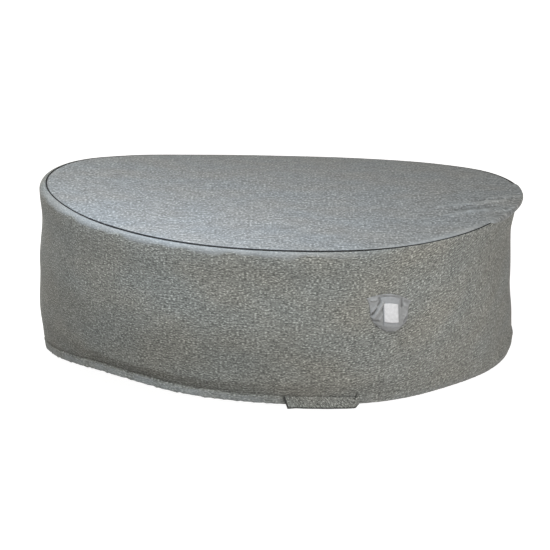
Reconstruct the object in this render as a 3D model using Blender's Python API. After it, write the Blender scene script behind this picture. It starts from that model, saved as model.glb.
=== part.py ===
"""Oval patio furniture cover: a hollow shell of woven cloth that hangs over a table and its chairs.

Frame: origin at the middle of the top panel's underside, +X along the long axis, +Y away from
the vent, +Z up. Lengths are in metres and angles in degrees, counted from +X towards +Y.
"""

import math
from collections import namedtuple

import bmesh
import bpy
from mathutils import Vector

# Driving dimensions
HALF_LENGTH = 1.193
HALF_WIDTH = 0.955
TOP_THICKNESS = 0.0025
SKIRT_THICKNESS = 0.0020
PIPING_RADIUS = 0.0035
SEAM_CLEARANCE = 0.0010
PATCH_THICKNESS = 0.0015
PATCH_CLEARANCE = 0.0012
MILLIMETRE = 0.001

# How far from the piping's middle the top panel ends and the skirt starts
TOP_SEAM = PIPING_RADIUS + SEAM_CLEARANCE
SKIRT_SEAM = PIPING_RADIUS + SEAM_CLEARANCE + SKIRT_THICKNESS

# Mesh density
SEGMENTS = 80
SHOULDER_STEPS = 3
TOP_RINGS = (0.08, 0.16, 0.36, 0.56, 0.74, 0.87, 0.955)

# Depths below the piping, in metres, at which the sections state how far out the skirt hangs
NECK_DEPTH = 0.045
WAIST_DEPTH = 0.17
BELLY_DEPTH = 0.42
LOW_DEPTH = 0.64
HEM_BAND = 0.040
SKIRT_ROWS = (0.045, 0.08, 0.15, 0.27, 0.40, 0.53, 0.64)

# One row for each section round the cover, all lengths in millimetres:
# piping height, how far out the shoulder stands and how far it falls, how far out the neck, waist,
# belly, low part and top of the hem band hang, height of the lower edge and the hem's tuck
Section = namedtuple(
    "Section", "piping shoulder fall neck waist belly low hem edge tuck"
)
SECTIONS = (
    Section(8, 2, 12, -24, -42, -36, -19, -8, -798, 14),
    Section(-8, 3, 12, -15, -25, -20, -10, -8, -795, 14),
    Section(-41, 4, 14, 4, -8, -5, -2, -8, -790, 14),
    Section(-66, 6, 16, 11, 2, 8, 4, -8, -795, 12),
    Section(-70, 8, 18, 14, 6, 12, 8, -8, -800, 12),
    Section(-45, 12, 20, 18, 12, 20, 14, -2, -790, 12),
    Section(5, 18, 24, 24, 20, 32, 28, 8, -775, 12),
    Section(54, 26, 28, 32, 28, 46, 48, 30, -760, 12),
    Section(72, 29, 32, 35, 28, 52, 62, 52, -794, 14),
    Section(64, 27, 32, 33, 26, 46, 52, 38, -746, 6),
    Section(33, 20, 28, 26, 20, 34, 34, 18, -704, 2),
    Section(7, 15, 24, 21, 14, 24, 14, -4, -736, 2),
    Section(-8, 12, 20, 18, 8, 17, 2, -14, -762, 5),
    Section(-21, 8, 18, 14, 6, 12, -2, -18, -787, 10),
    Section(-12, 4, 14, 5, -4, 0, -8, -18, -785, 14),
    Section(12, 2, 12, -17, -28, -22, -10, -8, -790, 14),
)
SECTION_STEP = 360.0 / len(SECTIONS)

# Soft lumps and hollows of the skirt: place, reach along and down, and how far they stand out
Swell = namedtuple("Swell", "angle depth half_width half_height out_mm")
SWELLS = (
    Swell(-36.0, 0.40, 22.0, 0.34, 9.0),
    Swell(-88.0, 0.50, 16.0, 0.26, 5.0),
    Swell(-122.0, 0.42, 14.0, 0.30, 6.0),
    Swell(-22.0, 0.66, 12.0, 0.10, -6.0),
    Swell(-150.0, 0.52, 12.0, 0.24, -6.0),
    Swell(28.0, 0.45, 18.0, 0.30, 7.0),
    Swell(70.0, 0.40, 16.0, 0.28, -6.0),
    Swell(112.0, 0.48, 18.0, 0.30, 6.0),
    Swell(150.0, 0.55, 14.0, 0.24, -6.0),
)

# Folds of the top panel: both ends, half width, and height (a ridge) or depth (a trough) in mm
Crease = namedtuple("Crease", "x0 y0 x1 y1 half_width height_mm")
CREASES = (
    Crease(1.150, -0.150, 0.980, -0.190, 0.060, 3.0),
    Crease(1.085, -0.225, 0.757, -0.313, 0.060, 4.0),
    Crease(0.987, -0.379, 0.781, -0.440, 0.060, 4.0),
    Crease(-1.034, 0.273, -0.704, 0.014, 0.070, 4.0),
    Crease(-0.500, -0.550, 0.300, -0.640, 0.140, -5.0),
)
TOP_FLAT_RADIUS = 0.16
TOP_BOWL_POWER = 1.5

# Pocket of bias-cut cloth over the hem
POCKET_START = -90.1
POCKET_END = -72.6
POCKET_HEIGHT = 0.058
POCKET_BELOW_HEM = 0.016
POCKET_OUT = 0.0075
POCKET_FLARE = 0.008
POCKET_COLUMNS = 12
POCKET_ROWS = 3
POCKET_CORNER = 0.018

# Vent hood, seen from outside: rows from its gabled top to its lower lip, in millimetres
VENT_ANGLE = -66.1
VENT_TOP_DEPTH = 0.212
VENT_TILT = 0.17
HoodRow = namedtuple("HoodRow", "down half_width ends_drop proud")
HOOD_ROWS = (
    HoodRow(0, 112, 32, 3),
    HoodRow(20, 104, 26, 9),
    HoodRow(52, 98, 10, 15),
    HoodRow(92, 96, 0, 21),
    HoodRow(130, 92, -8, 24),
    HoodRow(160, 78, -12, 23),
    HoodRow(178, 56, -10, 19),
    HoodRow(185, 34, -5, 15),
)
HOOD_COLUMNS = 20
HOOD_ROUNDING = 2.4

# Strap down the hood's middle, flared at its top, and the bare label sewn to it. A place counts
# the hood's rows, and a share is that of the hood's half width.
StrapRow = namedtuple("StrapRow", "place share")
STRAP_ROWS = (
    StrapRow(0.6, 0.47),
    StrapRow(1.0, 0.45),
    StrapRow(2.0, 0.42),
    StrapRow(3.0, 0.41),
    StrapRow(4.0, 0.41),
    StrapRow(5.0, 0.47),
)
STRAP_COLUMNS = 6
LABEL_PLACES = (1.70, 2.0, 2.5, 3.0, 3.5, 4.0, 4.25)
LABEL_HALF_WIDTH = 0.0365
LABEL_COLUMNS = 4

# Colours
WOVEN_TOP = (0.205, 0.225, 0.240, 1.0)
WOVEN_SKIRT = (0.190, 0.200, 0.190, 1.0)
PIPING_COLOUR = (0.055, 0.058, 0.060, 1.0)
PLAIN_GREY = (0.245, 0.255, 0.265, 1.0)
LABEL_COLOUR = (0.780, 0.785, 0.780, 1.0)


def smooth_step(x):
    """Return a soft ramp from 0 at x = 0 to 1 at x = 1."""
    t = min(max(x, 0.0), 1.0)
    return t * t * (3.0 - 2.0 * t)


def section_value(column, angle):
    """Return a column of SECTIONS at any angle, in metres, on a smooth closed curve."""
    place = (angle % 360.0) / SECTION_STEP
    first = int(place)
    t = place - first
    count = len(SECTIONS)
    before, start, end, after = (
        getattr(SECTIONS[(first + shift) % count], column) for shift in (-1, 0, 1, 2)
    )
    slope_start = (end - before) / 2.0
    slope_end = (after - start) / 2.0
    curve = (
        (2 * t**3 - 3 * t**2 + 1) * start
        + (t**3 - 2 * t**2 + t) * slope_start
        + (3 * t**2 - 2 * t**3) * end
        + (t**3 - t**2) * slope_end
    )
    return curve * MILLIMETRE


def piping_point(angle):
    """Return the middle of the piping at an angle, raised so that the underside is at zero."""
    turn = math.radians(angle)
    height = section_value("piping", angle) + TOP_THICKNESS
    return Vector((HALF_LENGTH * math.cos(turn), HALF_WIDTH * math.sin(turn), height))


def outward(angle):
    """Return the level direction that points straight out of the oval at an angle."""
    turn = math.radians(angle)
    return Vector(
        (math.cos(turn) / HALF_LENGTH, math.sin(turn) / HALF_WIDTH, 0.0)
    ).normalized()


def angles():
    """Return the angles of the segments round the oval."""
    return [360.0 * index / SEGMENTS for index in range(SEGMENTS)]


def skirt_length(angle):
    """Return how far the skirt hangs from the piping to its lower edge."""
    return section_value("piping", angle) - section_value("edge", angle)


def swell_out(angle, depth):
    """Return how far the soft lumps move the skirt out at a place."""
    total = 0.0
    for swell in SWELLS:
        along = abs((angle - swell.angle + 180.0) % 360.0 - 180.0) / swell.half_width
        down = abs(depth - swell.depth) / swell.half_height
        total += swell.out_mm * smooth_step(1.0 - along) * smooth_step(1.0 - down)
    return total * MILLIMETRE


def skirt_out(angle, depth):
    """Return how far out of the piping's middle the skirt's face hangs at a depth."""
    fall = section_value("fall", angle)
    shoulder = section_value("shoulder", angle)
    if depth < fall:
        rise = 1.0 - max(depth, 0.0) / fall
        return SKIRT_SEAM + shoulder * math.sqrt(1.0 - rise * rise)
    length = skirt_length(angle)
    knots = [
        (fall, SKIRT_SEAM + shoulder),
        (NECK_DEPTH, section_value("neck", angle)),
        (WAIST_DEPTH, section_value("waist", angle)),
        (BELLY_DEPTH, section_value("belly", angle)),
        (LOW_DEPTH, section_value("low", angle)),
        (length - HEM_BAND, section_value("hem", angle)),
    ]
    tuck = section_value("tuck", angle)
    knots.append((length, knots[-1][1] - tuck))
    for (depth_a, out_a), (depth_b, out_b) in zip(knots, knots[1:]):
        if depth <= depth_b:
            ramp = smooth_step((depth - depth_a) / (depth_b - depth_a))
            return out_a + (out_b - out_a) * ramp + swell_out(angle, depth)
    return knots[-1][1] + swell_out(angle, depth)


def skirt_point(angle, depth, proud=0.0):
    """Return a point on the skirt's outer face, or standing proud of it."""
    middle = piping_point(angle)
    side = outward(angle) * (skirt_out(angle, depth) + proud)
    return middle + side - Vector((0.0, 0.0, depth))


def skirt_depths(angle):
    """Return the depths of the skirt's rows at an angle, from its seam to its lower edge."""
    fall = section_value("fall", angle)
    length = skirt_length(angle)
    depths = []
    for step in range(SHOULDER_STEPS + 1):
        turn = math.radians(90.0 * step / SHOULDER_STEPS)
        depths.append(fall * (1.0 - math.cos(turn)))
    scale = (length - HEM_BAND) / (LOW_DEPTH + HEM_BAND)
    depths += [depth * scale for depth in SKIRT_ROWS]
    depths += [length - HEM_BAND, length - HEM_BAND / 2.0, length - HEM_BAND / 6.0, length]
    return depths


def crease_height(x, y):
    """Return how far the folds lift or lower the top panel at a place."""
    total = 0.0
    for crease in CREASES:
        start = Vector((crease.x0, crease.y0))
        run = Vector((crease.x1, crease.y1)) - start
        along = min(max((Vector((x, y)) - start).dot(run) / run.length_squared, 0.0), 1.0)
        distance = (Vector((x, y)) - start - run * along).length
        total += crease.height_mm * smooth_step(1.0 - distance / crease.half_width)
    return total * MILLIMETRE


def top_point(angle, share):
    """Return a point on the top panel's upper face, a share of the way out to its edge."""
    edge = piping_point(angle) - outward(angle) * TOP_SEAM
    edge.z += TOP_THICKNESS / 2.0
    x = edge.x * share
    y = edge.y * share
    ramp = max(share - TOP_FLAT_RADIUS, 0.0) / (1.0 - TOP_FLAT_RADIUS)
    height = TOP_THICKNESS + (edge.z - TOP_THICKNESS) * ramp**TOP_BOWL_POWER
    if TOP_FLAT_RADIUS < share < 1.0:
        height += crease_height(x, y)
    return Vector((x, y, height))


def new_material(name, colour, roughness):
    """Return a plain cloth material."""
    material = bpy.data.materials.new(name)
    material.use_nodes = True
    shader = material.node_tree.nodes["Principled BSDF"]
    shader.inputs["Base Color"].default_value = colour
    shader.inputs["Roughness"].default_value = roughness
    shader.inputs["Metallic"].default_value = 0.0
    material.diffuse_color = colour
    return material


def add_sheet(name, rows, closed, thickness, material, cap_first=False):
    """Add a sheet through rows of points, its outer face on them and its body behind them.

    Each row holds as many points as the others. A closed sheet joins each row's ends, and
    cap_first fills the first row with one face.
    """
    grid = bmesh.new()
    rings = [[grid.verts.new(point) for point in row] for row in rows]
    width = len(rings[0])
    spans = width if closed else width - 1
    for upper, lower in zip(rings, rings[1:]):
        for index in range(spans):
            after = (index + 1) % width
            grid.faces.new((upper[index], lower[index], lower[after], upper[after]))
    if cap_first:
        grid.faces.new(rings[0])
    mesh = bpy.data.meshes.new(name)
    grid.to_mesh(mesh)
    grid.free()
    mesh.shade_smooth()
    piece = bpy.data.objects.new(name, mesh)
    bpy.context.collection.objects.link(piece)
    piece.data.materials.append(material)
    solidify = piece.modifiers.new("Thickness", "SOLIDIFY")
    solidify.thickness = thickness
    solidify.offset = -1.0
    return piece


def add_top_panel(material):
    """Add the oval top panel, level in its middle."""
    shares = TOP_RINGS + (1.0,)
    rows = [[top_point(angle, share) for angle in angles()] for share in shares]
    return add_sheet("top_panel", rows, True, TOP_THICKNESS, material, cap_first=True)


def add_skirt(material):
    """Add the skirt, one cloth from its seam under the piping to its drawn-in hem."""
    columns = [[skirt_point(angle, depth) for depth in skirt_depths(angle)] for angle in angles()]
    rows = [list(row) for row in zip(*columns)]
    return add_sheet("skirt", rows, True, SKIRT_THICKNESS, material)


def add_piping(material):
    """Add the piping, a cord of cloth in the seam between the top panel and the skirt."""
    curve = bpy.data.curves.new("edge_piping", "CURVE")
    curve.dimensions = "3D"
    curve.bevel_depth = PIPING_RADIUS
    curve.bevel_resolution = 1
    spline = curve.splines.new("POLY")
    spline.points.add(SEGMENTS - 1)
    for point, angle in zip(spline.points, angles()):
        point.co = (*piping_point(angle), 1.0)
        point.radius = 1.0
    spline.use_cyclic_u = True
    spline.use_smooth = True
    piece = bpy.data.objects.new("edge_piping", curve)
    bpy.context.collection.objects.link(piece)
    piece.data.materials.append(material)
    return piece


def pocket_point(across, down):
    """Return a point of the hem pocket, from its open end (0) to its sewn end (1)."""
    angle = POCKET_START + (POCKET_END - POCKET_START) * across
    bottom = skirt_length(angle) + POCKET_BELOW_HEM
    corner = smooth_step((across - 1.0 + 1.0 / POCKET_COLUMNS) * POCKET_COLUMNS)
    open_end = smooth_step(1.0 - across * POCKET_COLUMNS / 2.0)
    bottom -= POCKET_CORNER * corner
    depth = bottom - POCKET_HEIGHT * (1.0 - down)
    band = skirt_length(angle) - HEM_BAND
    proud = POCKET_OUT + POCKET_FLARE * open_end * down
    return skirt_point(angle, min(depth, band), proud) - Vector((0.0, 0.0, max(depth - band, 0.0)))


def add_hem_pocket(material):
    """Add the short pocket of cloth that hangs over the hem, its left end open."""
    rows = []
    for row in range(POCKET_ROWS + 1):
        down = row / POCKET_ROWS
        places = [column / POCKET_COLUMNS for column in range(POCKET_COLUMNS + 1)]
        rows.append([pocket_point(across, down) for across in places])
    return add_sheet("hem_pocket", rows, False, SKIRT_THICKNESS, material)


def vent_point(side, down, proud):
    """Return a point over the vent: side along the cloth and down from its gabled top."""
    turn = math.radians(VENT_ANGLE)
    reach = math.hypot(HALF_LENGTH * math.sin(turn), HALF_WIDTH * math.cos(turn))
    angle = VENT_ANGLE + math.degrees(side / reach)
    top = piping_point(VENT_ANGLE).z - VENT_TOP_DEPTH
    depth = piping_point(angle).z - top + down + VENT_TILT * side
    return skirt_point(angle, depth, proud)


def hood_row(place):
    """Return the hood's row at a place between its rows, in metres."""
    first = min(int(place), len(HOOD_ROWS) - 2)
    share = place - first
    pairs = zip(HOOD_ROWS[first], HOOD_ROWS[first + 1])
    return HoodRow(*((upper + (lower - upper) * share) * MILLIMETRE for upper, lower in pairs))


def hood_point(across, place, layer=0):
    """Return a point of the hood, or of a patch that lies over it layer by layer."""
    row = hood_row(place)
    side = row.half_width * across
    down = row.down + row.ends_drop * across * across
    lift = row.proud * (1.0 - abs(across) ** HOOD_ROUNDING)
    proud = lift + SKIRT_THICKNESS + PATCH_CLEARANCE
    return vent_point(side, down, proud + layer * (PATCH_THICKNESS + PATCH_CLEARANCE))


def spread(columns):
    """Return evenly spaced shares from -1 to 1."""
    return [2.0 * column / columns - 1.0 for column in range(columns + 1)]


def add_vent_hood(material):
    """Add the hood: plain cloth sewn down at its gabled top and sides, open at its lower lip."""
    places = range(len(HOOD_ROWS))
    rows = [[hood_point(across, place) for across in spread(HOOD_COLUMNS)] for place in places]
    return add_sheet("vent_hood", rows, False, SKIRT_THICKNESS, material)


def add_vent_strap(material):
    """Add the strap down the middle of the hood, wider where it is sewn in at its top."""
    rows = [
        [hood_point(across * row.share, row.place, 1) for across in spread(STRAP_COLUMNS)]
        for row in STRAP_ROWS
    ]
    return add_sheet("vent_strap", rows, False, PATCH_THICKNESS, material)


def add_vent_label(material):
    """Add the bare label, a small rectangle of cloth on the strap."""
    rows = []
    for place in LABEL_PLACES:
        share = LABEL_HALF_WIDTH / hood_row(place).half_width
        rows.append([hood_point(across * share, place, 2) for across in spread(LABEL_COLUMNS)])
    return add_sheet("vent_label", rows, False, PATCH_THICKNESS, material)


def main():
    """Empty the scene and build the cover."""
    for old in list(bpy.data.objects):
        bpy.data.objects.remove(old)
    top_cloth = new_material("woven_top", WOVEN_TOP, 0.90)
    skirt_cloth = new_material("woven_skirt", WOVEN_SKIRT, 0.92)
    plain_cloth = new_material("plain_grey", PLAIN_GREY, 0.80)
    add_top_panel(top_cloth)
    add_piping(new_material("piping", PIPING_COLOUR, 0.85))
    add_skirt(skirt_cloth)
    add_hem_pocket(new_material("bias_woven", WOVEN_SKIRT, 0.92))
    add_vent_hood(plain_cloth)
    add_vent_strap(new_material("strap_grey", PLAIN_GREY, 0.80))
    add_vent_label(new_material("label", LABEL_COLOUR, 0.70))


main()
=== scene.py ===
"""Looks of an oval patio furniture cover: heather weave, dark piping, vent and hem pocket.

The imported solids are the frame. Each piece here is a thin sheet on its solid's folds, with the
finer creases, puckers, seams and stitches that the solids leave out. Lengths are in metres unless
a name or a table says millimetres, and angles are in degrees from +X towards +Y.
"""

import logging
import math
from dataclasses import dataclass, field
from enum import Enum
from typing import Callable, NamedTuple, Sequence

import bpy
import numpy as np
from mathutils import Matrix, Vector

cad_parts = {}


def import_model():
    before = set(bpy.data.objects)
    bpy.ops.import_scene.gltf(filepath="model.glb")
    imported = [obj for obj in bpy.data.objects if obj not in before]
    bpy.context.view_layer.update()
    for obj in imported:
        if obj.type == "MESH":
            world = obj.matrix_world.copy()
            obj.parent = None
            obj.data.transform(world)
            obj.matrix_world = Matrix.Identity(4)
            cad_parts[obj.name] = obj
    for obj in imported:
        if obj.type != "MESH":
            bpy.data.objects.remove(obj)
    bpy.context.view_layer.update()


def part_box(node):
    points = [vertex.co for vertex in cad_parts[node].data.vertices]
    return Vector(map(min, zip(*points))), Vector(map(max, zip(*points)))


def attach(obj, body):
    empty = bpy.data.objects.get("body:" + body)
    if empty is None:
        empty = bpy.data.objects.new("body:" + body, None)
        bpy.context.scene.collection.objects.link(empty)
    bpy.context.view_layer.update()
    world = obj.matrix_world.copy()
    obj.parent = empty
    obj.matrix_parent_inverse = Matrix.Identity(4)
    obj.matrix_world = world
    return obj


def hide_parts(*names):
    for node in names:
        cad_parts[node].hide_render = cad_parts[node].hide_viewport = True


LOG = logging.getLogger("cover")
MILLIMETRE = 0.001
BODY = "root"
CLOTH_MAP = "Cloth"
# Point attribute of painted light: painted highlight up to 1, painted shade down to -1.
PAINTED_LIGHT_MAP = "PaintedLight"
SEAM_ANGLE = 90.0
Colour = tuple[float, float, float]
Place = tuple[float, float, float]
Array = np.ndarray
Object = bpy.types.Object
Socket = bpy.types.NodeSocket
Shape = Callable[[Array, Array], Array]


class Held(Enum):
    """How a sheet of cloth is held."""

    HUNG = "hung"
    LAID = "laid"


class Section(NamedTuple):
    """One section round the cover, in millimetres, as the solids have it."""

    piping: float
    shoulder: float
    fall: float
    neck: float
    waist: float
    belly: float
    low: float
    hem: float
    edge: float
    tuck: float


SECTIONS = (
    Section(8, 2, 12, -24, -42, -36, -19, -8, -798, 14),
    Section(-8, 3, 12, -15, -25, -20, -10, -8, -795, 14),
    Section(-41, 4, 14, 4, -8, -5, -2, -8, -790, 14),
    Section(-66, 6, 16, 11, 2, 8, 4, -8, -795, 12),
    Section(-70, 8, 18, 14, 6, 12, 8, -8, -800, 12),
    Section(-45, 12, 20, 18, 12, 20, 14, -2, -790, 12),
    Section(5, 18, 24, 24, 20, 32, 28, 8, -775, 12),
    Section(54, 26, 28, 32, 28, 46, 48, 30, -760, 12),
    Section(72, 29, 32, 35, 28, 52, 62, 52, -794, 14),
    Section(64, 27, 32, 33, 26, 46, 52, 38, -746, 6),
    Section(33, 20, 28, 26, 20, 34, 34, 18, -704, 2),
    Section(7, 15, 24, 21, 14, 24, 14, -4, -736, 2),
    Section(-8, 12, 20, 18, 8, 17, 2, -14, -762, 5),
    Section(-21, 8, 18, 14, 6, 12, -2, -18, -787, 10),
    Section(-12, 4, 14, 5, -4, 0, -8, -18, -785, 14),
    Section(12, 2, 12, -17, -28, -22, -10, -8, -790, 14),
)


class Swell(NamedTuple):
    """A soft lump or hollow of the skirt: its place, its reach and how far it stands out."""

    angle: float
    depth: float
    half_width: float
    half_height: float
    out_mm: float


SWELLS = (
    Swell(-36.0, 0.40, 22.0, 0.34, 9.0),
    Swell(-88.0, 0.50, 16.0, 0.26, 5.0),
    Swell(-122.0, 0.42, 14.0, 0.30, 6.0),
    Swell(-22.0, 0.66, 12.0, 0.10, -6.0),
    Swell(-150.0, 0.52, 12.0, 0.24, -6.0),
    Swell(28.0, 0.45, 18.0, 0.30, 7.0),
    Swell(70.0, 0.40, 16.0, 0.28, -6.0),
    Swell(112.0, 0.48, 18.0, 0.30, 6.0),
    Swell(150.0, 0.55, 14.0, 0.24, -6.0),
)


class Crease(NamedTuple):
    """A fold of the top panel: both ends, half width, and height (down if negative)."""

    x0: float
    y0: float
    x1: float
    y1: float
    half_width: float
    height_mm: float


CREASES = (
    Crease(1.160, -0.150, 1.030, -0.176, 0.024, 6.0),
    Crease(1.120, -0.190, 0.960, -0.212, 0.026, -5.0),
    Crease(1.090, -0.225, 1.000, -0.243, 0.026, 7.0),
    Crease(1.000, -0.243, 0.757, -0.313, 0.026, 6.0),
    Crease(1.020, -0.310, 0.840, -0.350, 0.030, -5.5),
    Crease(0.990, -0.379, 0.903, -0.396, 0.026, 7.0),
    Crease(0.903, -0.396, 0.780, -0.440, 0.026, 6.0),
    Crease(1.176, 0.119, 1.104, 0.119, 0.022, -2.5),
    Crease(1.161, 0.190, 0.996, 0.250, 0.040, 2.5),
    Crease(-1.034, 0.273, -0.980, 0.253, 0.026, 3.5),
    Crease(-0.980, 0.253, -0.850, 0.156, 0.028, 3.5),
    Crease(-0.850, 0.156, -0.704, 0.014, 0.030, 3.5),
    Crease(-1.060, 0.200, -0.960, 0.120, 0.026, -2.5),
    Crease(-1.060, -0.020, -1.000, 0.010, 0.020, -2.0),
    Crease(-0.500, -0.550, 0.300, -0.640, 0.140, -5.0),
)


def smooth_step(x: Array) -> Array:
    """Return a soft ramp from 0 at x = 0 to 1 at x = 1."""
    t = np.clip(x, 0.0, 1.0)
    return t * t * (3.0 - 2.0 * t)


def turn_apart(a: Array, b: float) -> Array:
    """Return how many degrees a lies past b, from -180 to 180."""
    return (a - b + 180.0) % 360.0 - 180.0


def bell(x: Array) -> Array:
    """Return a bell curve, 1 at x = 0 and near 0 two steps away."""
    return np.exp(-(x**2))


def straight_fold(x: Array, y: Array, ends: Sequence[float], half_width: float) -> Array:
    """Return the cross-section of a fold that runs straight from one end to the other.

    Args:
        x: places along one direction.
        y: places along the other.
        ends: x and y of one end, then of the other.
        half_width: how far the fold reaches to either side.

    Returns:
        1 on the fold's line, falling softly to 0 at its half width.
    """
    x0, y0, x1, y1 = ends
    run_x = x1 - x0
    run_y = y1 - y0
    along = np.clip(((x - x0) * run_x + (y - y0) * run_y) / (run_x**2 + run_y**2), 0.0, 1.0)
    apart = np.hypot(x - x0 - run_x * along, y - y0 - run_y * along)
    return smooth_step(1.0 - apart / half_width)


@dataclass
class CoverForm:
    """The shape that the cloth hangs in, worked out from the frame and the table of sections."""

    top_thickness: float = 0.0025
    skirt_thickness: float = 0.0020
    piping_radius: float = 0.0035
    seam_clearance: float = 0.0010
    neck_depth: float = 0.045
    waist_depth: float = 0.17
    belly_depth: float = 0.42
    low_depth: float = 0.64
    hem_band: float = 0.040
    top_flat: float = 0.16
    top_bowl: float = 1.5
    half_length: float = field(init=False)
    half_width: float = field(init=False)

    def __post_init__(self) -> None:
        """Read the oval's two half axes from the piping's box."""
        low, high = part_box("edge_piping")
        self.half_length = (high.x - low.x) / 2.0 - self.piping_radius
        self.half_width = (high.y - low.y) / 2.0 - self.piping_radius

    @property
    def top_seam(self) -> float:
        """How far inside the piping's middle the top panel ends."""
        return self.piping_radius + self.seam_clearance

    @property
    def skirt_seam(self) -> float:
        """How far outside the piping's middle the skirt starts."""
        return self.top_seam + self.skirt_thickness

    @property
    def around(self) -> float:
        """How far it is round the oval."""
        return math.pi * (self.half_length + self.half_width)

    def polar(self, x: Array, y: Array) -> tuple[Array, Array]:
        """Return each plan place's share of the way out to the oval, and its angle."""
        share = np.clip(np.hypot(x / self.half_length, y / self.half_width), 0.0, 1.0)
        return share, np.degrees(np.arctan2(y / self.half_width, x / self.half_length))

    def value(self, column: str, angle: Array) -> Array:
        """Return a column of the sections at any angle, on a smooth closed curve.

        Args:
            column: name of the column.
            angle: angles in degrees.

        Returns:
            The column's value at each angle, in metres.
        """
        table = np.array([getattr(row, column) for row in SECTIONS]) * MILLIMETRE
        count = len(table)
        place = (np.asarray(angle, float) % 360.0) / (360.0 / count)
        first = np.floor(place).astype(int)
        t = place - first
        before, start, end, after = (table[(first + shift) % count] for shift in (-1, 0, 1, 2))
        slope_start = (end - before) / 2.0
        slope_end = (after - start) / 2.0
        return (
            (2 * t**3 - 3 * t**2 + 1) * start
            + (t**3 - 2 * t**2 + t) * slope_start
            + (3 * t**2 - 2 * t**3) * end
            + (t**3 - t**2) * slope_end
        )

    def outward(self, angle: Array) -> Array:
        """Return the level unit direction straight out of the oval at each angle."""
        turn = np.radians(angle)
        x = np.cos(turn) / self.half_length
        y = np.sin(turn) / self.half_width
        length = np.hypot(x, y)
        return np.stack([x / length, y / length, np.zeros_like(x)], axis=-1)

    def piping(self, angle: Array) -> Array:
        """Return the middle of the piping at each angle."""
        turn = np.radians(angle)
        height = self.value("piping", angle) + self.top_thickness
        return np.stack(
            [self.half_length * np.cos(turn), self.half_width * np.sin(turn), height], axis=-1
        )

    def length(self, angle: Array) -> Array:
        """Return how far the skirt hangs from the piping to its lower edge."""
        return self.value("piping", angle) - self.value("edge", angle)

    def swell(self, angle: Array, depth: Array) -> Array:
        """Return how far the soft lumps move the skirt out."""
        total = np.zeros(np.broadcast(angle, depth).shape)
        for lump in SWELLS:
            along = np.abs(turn_apart(angle, lump.angle)) / lump.half_width
            down = np.abs(depth - lump.depth) / lump.half_height
            total = total + lump.out_mm * smooth_step(1.0 - along) * smooth_step(1.0 - down)
        return total * MILLIMETRE

    def skirt_out(self, angle: Array, depth: Array) -> Array:
        """Return how far outside the piping's middle the skirt's face hangs.

        Args:
            angle: angles in degrees.
            depth: depths below the piping, of the same shape.

        Returns:
            The distance at each place.
        """
        fall = self.value("fall", angle)
        shoulder = self.value("shoulder", angle)
        rise = 1.0 - np.clip(depth, 0.0, None) / fall
        rounded = self.skirt_seam + shoulder * np.sqrt(np.clip(1.0 - rise * rise, 0.0, 1.0))
        length = self.length(angle)
        hem = self.value("hem", angle)
        flat = np.zeros_like(length)
        knots = (
            (fall, self.skirt_seam + shoulder),
            (flat + self.neck_depth, self.value("neck", angle)),
            (flat + self.waist_depth, self.value("waist", angle)),
            (flat + self.belly_depth, self.value("belly", angle)),
            (flat + self.low_depth, self.value("low", angle)),
            (length - self.hem_band, hem),
            (length, hem - self.value("tuck", angle)),
        )
        out = np.where(depth < fall, rounded, knots[-1][1])
        for (depth_a, out_a), (depth_b, out_b) in zip(knots, knots[1:]):
            ramp = smooth_step((depth - depth_a) / (depth_b - depth_a))
            inside = (depth >= depth_a) & (depth <= depth_b)
            out = np.where(inside, out_a + (out_b - out_a) * ramp, out)
        return out + np.where(depth < fall, 0.0, self.swell(angle, depth))

    def skirt(self, angle: Array, depth: Array, proud: Array = 0.0) -> Array:
        """Return points on the skirt's face, or standing proud of it.

        Args:
            angle: angles in degrees.
            depth: depths below the piping.
            proud: how far each point stands off the face.

        Returns:
            The points, one row of three numbers each.
        """
        points = self.piping(angle)
        points = points + self.outward(angle) * (self.skirt_out(angle, depth) + proud)[..., None]
        points[..., 2] -= depth
        return points

    def top_height(self, x: Array, y: Array) -> Array:
        """Return the height of the top panel's upper face, without its folds."""
        share, angle = self.polar(x, y)
        edge = self.value("piping", angle) + self.top_thickness * 1.5
        ramp = np.clip(share - self.top_flat, 0.0, None) / (1.0 - self.top_flat)
        return self.top_thickness + (edge - self.top_thickness) * ramp**self.top_bowl

    def crease(self, x: Array, y: Array) -> Array:
        """Return how far the folds lift or lower the top panel."""
        total = np.zeros_like(x)
        for fold in CREASES:
            total = total + fold.height_mm * straight_fold(x, y, fold[:4], fold.half_width)
        return total * MILLIMETRE


def ripple(place: Array, waves: Sequence[tuple[float, float, float]]) -> Array:
    """Return a sum of sine waves, uneven enough to look unplanned.

    Args:
        place: where along the cloth, in metres or turns.
        waves: rows of wave count per unit, height and phase.

    Returns:
        The sum at each place.
    """
    total = np.zeros_like(place)
    for count, height, phase in waves:
        total = total + height * np.sin(2.0 * np.pi * count * place + phase)
    return total


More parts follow.
